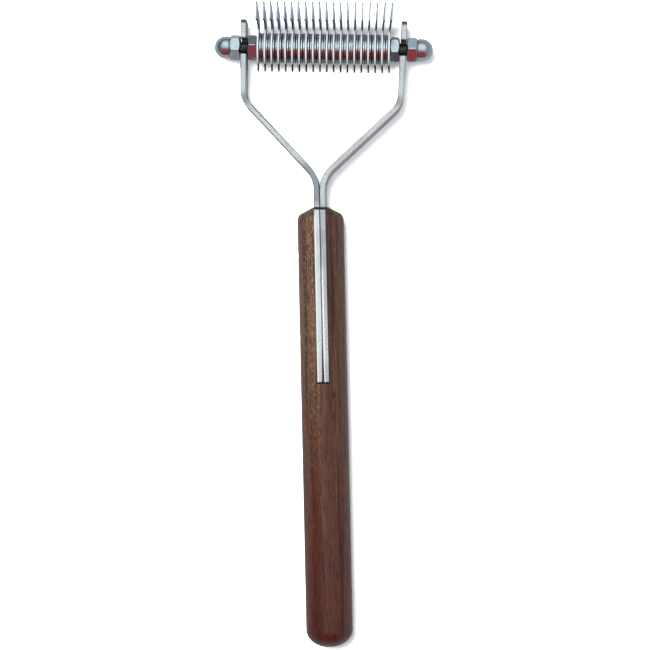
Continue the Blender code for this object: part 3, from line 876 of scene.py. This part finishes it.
def make_arm(node, side, leg_lean, upper_corner):
    reach = TANG_DEPTH / 2.0 + OVERCUT
    plan = prism(node, arm_plan(side, leg_lean, upper_corner), AXLE.z - reach, AXLE.z + reach,
                 lambda x, y, z: (AXLE.x + x, AXLE.y + y, z))
    wide = LEG_X + 2.0 * ARM_THICKNESS
    view = prism("side_view", arm_side_view(), -wide, wide,
                 lambda forward, up, x: (AXLE.x + x, AXLE.y + up, AXLE.z + forward))
    mesh = tidy_flats(carved(plan, view, "INTERSECT"), 30.0)
    arm = add_piece(node + "_bar", mesh, [FORK_STEEL], "handle_frame", [node])
    soften_edges(arm, ARM_EDGE_ROUND, 3, 32.0)


# ---------------------------------------------------------------- rod and nuts

def make_rod():
    """A threaded rod: rings whose radius follows the thread as it winds along."""
    radius = extent("threaded_rod").z / 2.0
    half = extent("threaded_rod").x / 2.0
    count = int(round(2.0 * half / THREAD_PITCH * THREAD_RINGS_EACH_TURN))
    rings = [[(-half + AXLE.x, AXLE.y, AXLE.z)]]
    for index in range(count + 1):
        x = -half + 2.0 * half * index / count
        end_room = min(x + half, half - x)
        largest = radius - max(0.0, ROD_CHAMFER - end_room)
        ring = []
        for step in range(THREAD_SEGMENTS):
            turn = step / THREAD_SEGMENTS
            phase = (x / THREAD_PITCH - turn) % 1.0
            flank = abs(phase - 0.5) * THREAD_FLANK_SLOPE - THREAD_CREST_SHARE
            reach = min(radius - THREAD_DEPTH * min(max(flank, 0.0), 1.0), largest)
            angle = 2.0 * math.pi * turn
            around = Vector((0.0, reach * math.cos(angle), reach * math.sin(angle)))
            ring.append(AXLE + Vector((x, 0.0, 0.0)) + around)
        rings.append(ring)
    rings.append([(half + AXLE.x, AXLE.y, AXLE.z)])
    mesh = loft("threaded_rod", rings, sharp_angle=80.0)
    add_piece("rod_with_thread", mesh, [ROD_STEEL], "rod", ["threaded_rod"])


def hexagon_radius(angle, corner_angle):
    """Distance from the middle of a hexagon to its side, in a direction."""
    from_flat = (angle - corner_angle) % 60.0 - 30.0
    return ACROSS_FLATS / 2.0 / math.cos(math.radians(from_flat))


def nut_body_rings(length, corner_angle):
    """Rings over a hexagon with turned chamfers: face, chamfer edge, far chamfer edge, far face."""
    rings = [[], [], [], []]
    for step in range(HEX_SEGMENTS):
        angle = 360.0 * step / HEX_SEGMENTS
        radius = hexagon_radius(angle, corner_angle)
        depth = (radius - NUT_FACE_RADIUS) * NUT_CHAMFER_SLOPE
        places = [(0.0, NUT_FACE_RADIUS), (depth, radius)]
        places += [(length - depth, radius), (length, NUT_FACE_RADIUS)]
        for ring, (x, reach) in zip(rings, places):
            turn = math.radians(angle)
            ring.append((x, reach * math.cos(turn), reach * math.sin(turn)))
    return rings


def rings_of(places):
    return [ring_about_x(x, radius, HEX_SEGMENTS) for x, radius in places]


def make_inner_nut(node):
    low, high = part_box(node)
    length = high.x - low.x
    mouth = BORE_RADIUS + NUT_BORE_FLARE
    rings = nut_body_rings(length, 90.0 - NUT_TURNS[node])
    rings += rings_of([(length, mouth), (length - NUT_BORE_FLARE, BORE_RADIUS)])
    rings += rings_of([(NUT_BORE_FLARE, BORE_RADIUS), (0.0, mouth)])
    mesh = loft(node, rings, closed=True, sharp_angle=NUT_SHARP_ANGLE)
    mesh.transform(Matrix.Translation((low.x, AXLE.y, AXLE.z)))
    nut = add_piece(node + "_hex", mesh, [ZINC], node, [node])
    soften_edges(nut, NUT_EDGE_ROUND, 2, NUT_SHARP_ANGLE)


def make_cap_nut(node, side):
    """A hexagon, a short neck and a dome; its blind bore opens towards the blades."""
    low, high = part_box(node)
    length = high.x - low.x
    mouth = BORE_RADIUS + NUT_BORE_FLARE
    rings = rings_of([(CAP_BORE_DEPTH + CAP_BORE_POINT, 0.0), (CAP_BORE_DEPTH, BORE_RADIUS)])
    rings += rings_of([(NUT_BORE_FLARE, BORE_RADIUS), (0.0, mouth)])
    rings += nut_body_rings(CAP_HEX_LENGTH, side * (90.0 - NUT_TURNS[node]))
    dome_centre = length - CAP_DOME_RADIUS
    neck_end = CAP_HEX_LENGTH + CAP_NECK_LENGTH
    places = [(CAP_HEX_LENGTH, CAP_NECK_RADIUS), (neck_end, CAP_NECK_RADIUS)]
    places += [(neck_end, CAP_DOME_RADIUS - CAP_DOME_LIP)]
    places += [(neck_end + CAP_DOME_LIP, CAP_DOME_RADIUS)]
    places += arc((dome_centre, 0.0), CAP_DOME_RADIUS, 90.0, 0.0, CAP_DOME_STEPS)[:-1]
    places += [(length, 0.0)]
    rings += rings_of(places)
    mesh = loft(node, rings, sharp_angle=NUT_SHARP_ANGLE)
    turn = Matrix.Identity(4) if side > 0 else Matrix.Rotation(math.radians(180.0), 4, "Z")
    inner_face = low.x if side > 0 else high.x
    mesh.transform(Matrix.Translation((inner_face, AXLE.y, AXLE.z)) @ turn)
    nut = add_piece(node + "_domed", mesh, [ZINC], node, [node])
    soften_edges(nut, NUT_EDGE_ROUND, 2, NUT_SHARP_ANGLE)


# ---------------------------------------------------------------- blades and washers

def blade_outline():
    """Side view of a blade about the rod, clockwise, as (forward, up) points, with the finish
    and the ground width of the edge that leaves each point."""
    outline = []
    finishes = []
    grinds = []

    def run(points, finish, grind=0.0):
        outline.extend(points)
        finishes.extend([finish] * len(points))
        grinds.extend([grind] * len(points))

    run(arc((0.0, 0.0), HUB_RADIUS, 66.0, -86.0, 30), RIM_HIGHLIGHT)
    # Painted shade on the tail spur and along the ground cutting edge.
    run([(0.0, -HUB_RADIUS), (-0.0006, -0.0059), (-0.0010, -TAIL_REACH + 0.0003)], GROUND_SHADE)
    run([(-0.0014, -TAIL_REACH), (-0.0019, -TAIL_REACH + 0.0003)], GROUND_SHADE)
    run(arc((0.0, 0.0), HUB_RADIUS, -122.0, -208.0, 16), RIM_HIGHLIGHT)
    run(bend((-0.0044, 0.0040), (-0.0044, 0.0088), (0.0012, 0.0101), 12), RIM_HIGHLIGHT)
    # Painted shade along the hook's back.
    run(bend((0.0042, 0.0109), (0.0085, 0.0114), (0.0117, BLADE_TOP), 8), BACK_SHADE)
    run(bend((0.0125, BLADE_TOP - 0.0003), (0.0129, BLADE_TOP - 0.0007), (0.0131, 0.0108), 5), BACK_SHADE)
    run([(BLADE_REACH, CUTTING_EDGE_HEIGHT + 0.0002)], GROUND_SHADE)
    run([(BLADE_REACH - 0.0001, CUTTING_EDGE_HEIGHT)], GROUND_SHADE)
    run([(0.0133, CUTTING_EDGE_HEIGHT - 0.0002)], GROUND_SHADE, GRIND_WIDTH)
    run(bend((0.0122, CUTTING_EDGE_HEIGHT), (0.0070, 0.0074), (0.0029, 0.0053), 16),
        GROUND_SHADE, GRIND_WIDTH)
    finishes[-1] = RIM_HIGHLIGHT
    grinds[-1] = 0.0
    return outline, finishes, grinds


def blade_mesh(name, thickness, centre, bend_by, turn):
    """A stamped plate with softened rims and ground edges, its tip slightly bent aside."""
    outline, finishes, grinds = blade_outline()
    outline = [(forward * BLADE_SHRINK, up * BLADE_SHRINK) for forward, up in outline]
    count = len(outline)
    half = thickness / 2.0
    flat_face = inset(outline, [max(grind, BLADE_EDGE_ROUND) for grind in grinds])
    rim_half = []
    for index in range(count):
        sharp = grinds[index] > 0.0 and grinds[index - 1] > 0.0
        rim_half.append(SHARP_HALF_THICKNESS if sharp else half - BLADE_EDGE_ROUND)
    bore = circle((0.0, 0.0), BORE_RADIUS, BLADE_BORE_SEGMENTS)
    cosine = math.cos(math.radians(turn))
    sine = math.sin(math.radians(turn))

    def placed(x, point):
        forward = point[0] * cosine - point[1] * sine
        up = point[0] * sine + point[1] * cosine
        beyond = max(0.0, math.hypot(forward, up) - HUB_RADIUS) / BLADE_REACH
        return (centre.x + x + bend_by * beyond, AXLE.y + up, AXLE.z + forward)

    bm = bmesh.new()
    rings = [
        [bm.verts.new(placed(-half, point)) for point in flat_face],
        [bm.verts.new(placed(-reach, point)) for reach, point in zip(rim_half, outline)],
        [bm.verts.new(placed(reach, point)) for reach, point in zip(rim_half, outline)],
        [bm.verts.new(placed(half, point)) for point in flat_face],
    ]
    holes = [[bm.verts.new(placed(x, point)) for point in bore] for x in (-half, half)]
    for first, second in zip(rings, rings[1:]):
        for index in range(count):
            after = (index + 1) % count
            face = bm.faces.new((first[index], first[after], second[after], second[index]))
            face.material_index = finishes[index]
    for index in range(len(bore)):
        after = (index + 1) % len(bore)
        bm.faces.new((holes[0][index], holes[0][after], holes[1][after], holes[1][index]))
    flat_points = [Vector((x, y, 0.0)) for x, y in flat_face]
    bore_points = [Vector((x, y, 0.0)) for x, y in bore]
    for ring, hole in ((rings[0], holes[0]), (rings[3], holes[1])):
        verts = ring + hole
        for corners in tessellate_polygon([flat_points, bore_points]):
            bm.faces.new([verts[corner] for corner in corners])
    return mesh_from(bm, name, 30.0)


def make_blades():
    nodes = sorted(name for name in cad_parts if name.startswith("blade_"))
    for node in nodes:
        fan = min(max((middle(node).x - FAN_START) / (FAN_END - FAN_START), 0.0), 1.0)
        bend_by = CHANCE.uniform(-1.0, 1.0) * BLADE_BEND_SPREAD + fan * BLADE_FAN
        turn = CHANCE.uniform(-1.0, 1.0) * BLADE_TURN_SPREAD
        mesh = blade_mesh(node, extent(node).x, middle(node), bend_by, turn)
        materials = [BLADE_SIDE, BLADE_RIM_HIGHLIGHT, BLADE_EDGE_SHADE, BLADE_BACK_SHADE]
        add_piece("hook_" + node, mesh, materials, "blade_stack", [node])


def washer_profile(thickness, burr_right):
    """A stamped washer's section: a well rounded rim on one side, a sharper one on the other."""
    rounds = (WASHER_RIM_ROUND, WASHER_BURR_ROUND)
    left, right = rounds if burr_right else rounds[::-1]
    half = thickness / 2.0
    profile = [(-half, BORE_RADIUS)]
    steps = WASHER_ROUND_STEPS
    profile += arc((-half + left, WASHER_RADIUS - left), left, 180.0, 90.0, steps)
    profile += arc((half - right, WASHER_RADIUS - right), right, 90.0, 0.0, steps)
    profile += [(half, BORE_RADIUS)]
    return profile


def paint_facing_shade(mesh):
    """Painted shade on the parts of the rounded rim that turn towards the neighbours."""
    for face in mesh.polygons:
        from_axle = Vector((0.0, face.center.y, face.center.z)).length
        if abs(face.normal.x) > FACING_SHADE_START and from_axle > BORE_RADIUS:
            face.material_index = 1


def make_washers():
    nodes = sorted(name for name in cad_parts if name.startswith("spacer_"))
    for node in nodes:
        thickness = (extent(node).x - 3.0 * WASHER_GAP) / 2.0
        for name, side in (("left", -1.0), ("right", 1.0)):
            profile = washer_profile(thickness, CHANCE.random() < 0.5)
            mesh = turned(node, profile, WASHER_SEGMENTS, closed=True, sharp_angle=30.0)
            away = math.radians(CHANCE.uniform(0.0, 360.0))
            shift = WASHER_SHIFT * CHANCE.random()
            x = middle(node).x + side * (thickness + WASHER_GAP) / 2.0
            place = (x, AXLE.y + shift * math.cos(away), AXLE.z + shift * math.sin(away))
            paint_facing_shade(mesh)
            mesh.transform(Matrix.Translation(place))
            piece_name = node.replace("spacer", "washer") + "_" + name
            materials = [WASHER_STEEL, WASHER_FACING_SHADE]
            add_piece(piece_name, mesh, materials, "blade_stack", [node])


# ---------------------------------------------------------------- floor, light and camera

def make_floor():
    """Paper that burns out to white for the camera and is greyer to every other ray."""
    bm = bmesh.new()
    bmesh.ops.create_grid(bm, x_segments=1, y_segments=1, size=FLOOR_HALF_WIDTH)
    mesh = bpy.data.meshes.new("floor")
    bm.to_mesh(mesh)
    bm.free()
    floor = bpy.data.objects.new("floor", mesh)
    floor.location = (0.0, 0.0, CAD_BOX[0].z - FLOOR_DROP)
    bpy.context.scene.collection.objects.link(floor)
    recipe = Recipe("floor_paper")
    seen = recipe.node("ShaderNodeLightPath").outputs["Is Camera Ray"]
    paper = recipe.blend(seen, FLOOR_MIRRORED, FLOOR_SEEN)
    mesh.materials.append(
        recipe.finish(Base_Color=paper, Roughness=0.9, Specular_IOR_Level=0.0))


def make_world():
    """A studio for the metal to mirror: bright above, greyer round the sides, with a dark red
    wall behind the handle's end. Diffuse rays meet one neutral value, and the camera white."""
    world = bpy.data.worlds.new("studio")
    bpy.context.scene.world = world
    world.use_nodes = True
    nodes = Nodes(world.node_tree)
    way = nodes.node("ShaderNodeTexCoord").outputs["Generated"]
    parts = nodes.node("ShaderNodeSeparateXYZ", {}, {"Vector": way}).outputs
    rays = nodes.node("ShaderNodeLightPath").outputs

    def layered(colour, layers):
        for part, begins, full, layer in layers:
            colour = nodes.blend(nodes.ranged(parts[part], begins, full), colour, layer)
        return colour

    sky = layered(LEFT_WALL, WALL_AND_SKY_LAYERS)
    red_wall = layered(RED_WALL, RED_WALL_LAYERS)
    sky = layered(sky, [("Y", RED_WALL_BEGINS, RED_WALL_FULL, red_wall)])
    sky = layered(sky, SIDE_LAYERS)
    sky = nodes.blend(rays["Is Diffuse Ray"], sky, SKY_LIGHTING)
    sky = nodes.blend(rays["Is Camera Ray"], sky, SKY_SEEN)
    nodes.feed(nodes.tree.nodes["Background"], "Color", sky)


def make_key_light():
    """A soft lamp almost overhead; the metal mirrors the studio's walls and not this lamp."""
    lamp = bpy.data.lights.new("key", "AREA")
    lamp.shape = "DISK"
    lamp.size = KEY_WIDTH
    lamp.energy = KEY_POWER
    light = bpy.data.objects.new("key", lamp)
    light.location = KEY_PLACE
    light.rotation_euler = (-Vector(KEY_PLACE)).to_track_quat("-Z", "Y").to_euler()
    light.visible_glossy = False
    bpy.context.scene.collection.objects.link(light)


def make_camera():
    lens = bpy.data.cameras.new("camera")
    lens.lens = FOCAL_LENGTH
    lens.sensor_width = SENSOR_WIDTH
    lens.clip_start = 0.01
    lens.clip_end = 20.0
    camera = bpy.data.objects.new("camera", lens)
    bpy.context.scene.collection.objects.link(camera)
    back = (Vector(CAMERA_PLACE) - Vector(CAMERA_TARGET)).normalized()
    roll = math.radians(CAMERA_ROLL)
    right = Vector((-math.sin(roll), math.cos(roll), 0.0)).cross(back).normalized()
    up = back.cross(right)
    turn = Matrix((right, up, back)).transposed().to_4x4()
    camera.matrix_world = Matrix.Translation(CAMERA_PLACE) @ turn
    bpy.context.scene.camera = camera


make_floor()
make_world()
make_key_light()
make_camera()
bpy.context.scene.view_settings.view_transform = "Standard"

make_handle()
make_pins()
make_arm("left_arm", -1.0, LEFT_LEG_LEAN, LEFT_UPPER_CORNER)
make_arm("right_arm", 1.0, RIGHT_LEG_LEAN, RIGHT_UPPER_CORNER)
make_rod()
make_inner_nut("left_inner_nut")
make_inner_nut("right_inner_nut")
make_cap_nut("left_cap_nut", -1.0)
make_cap_nut("right_cap_nut", 1.0)
make_blades()
make_washers()
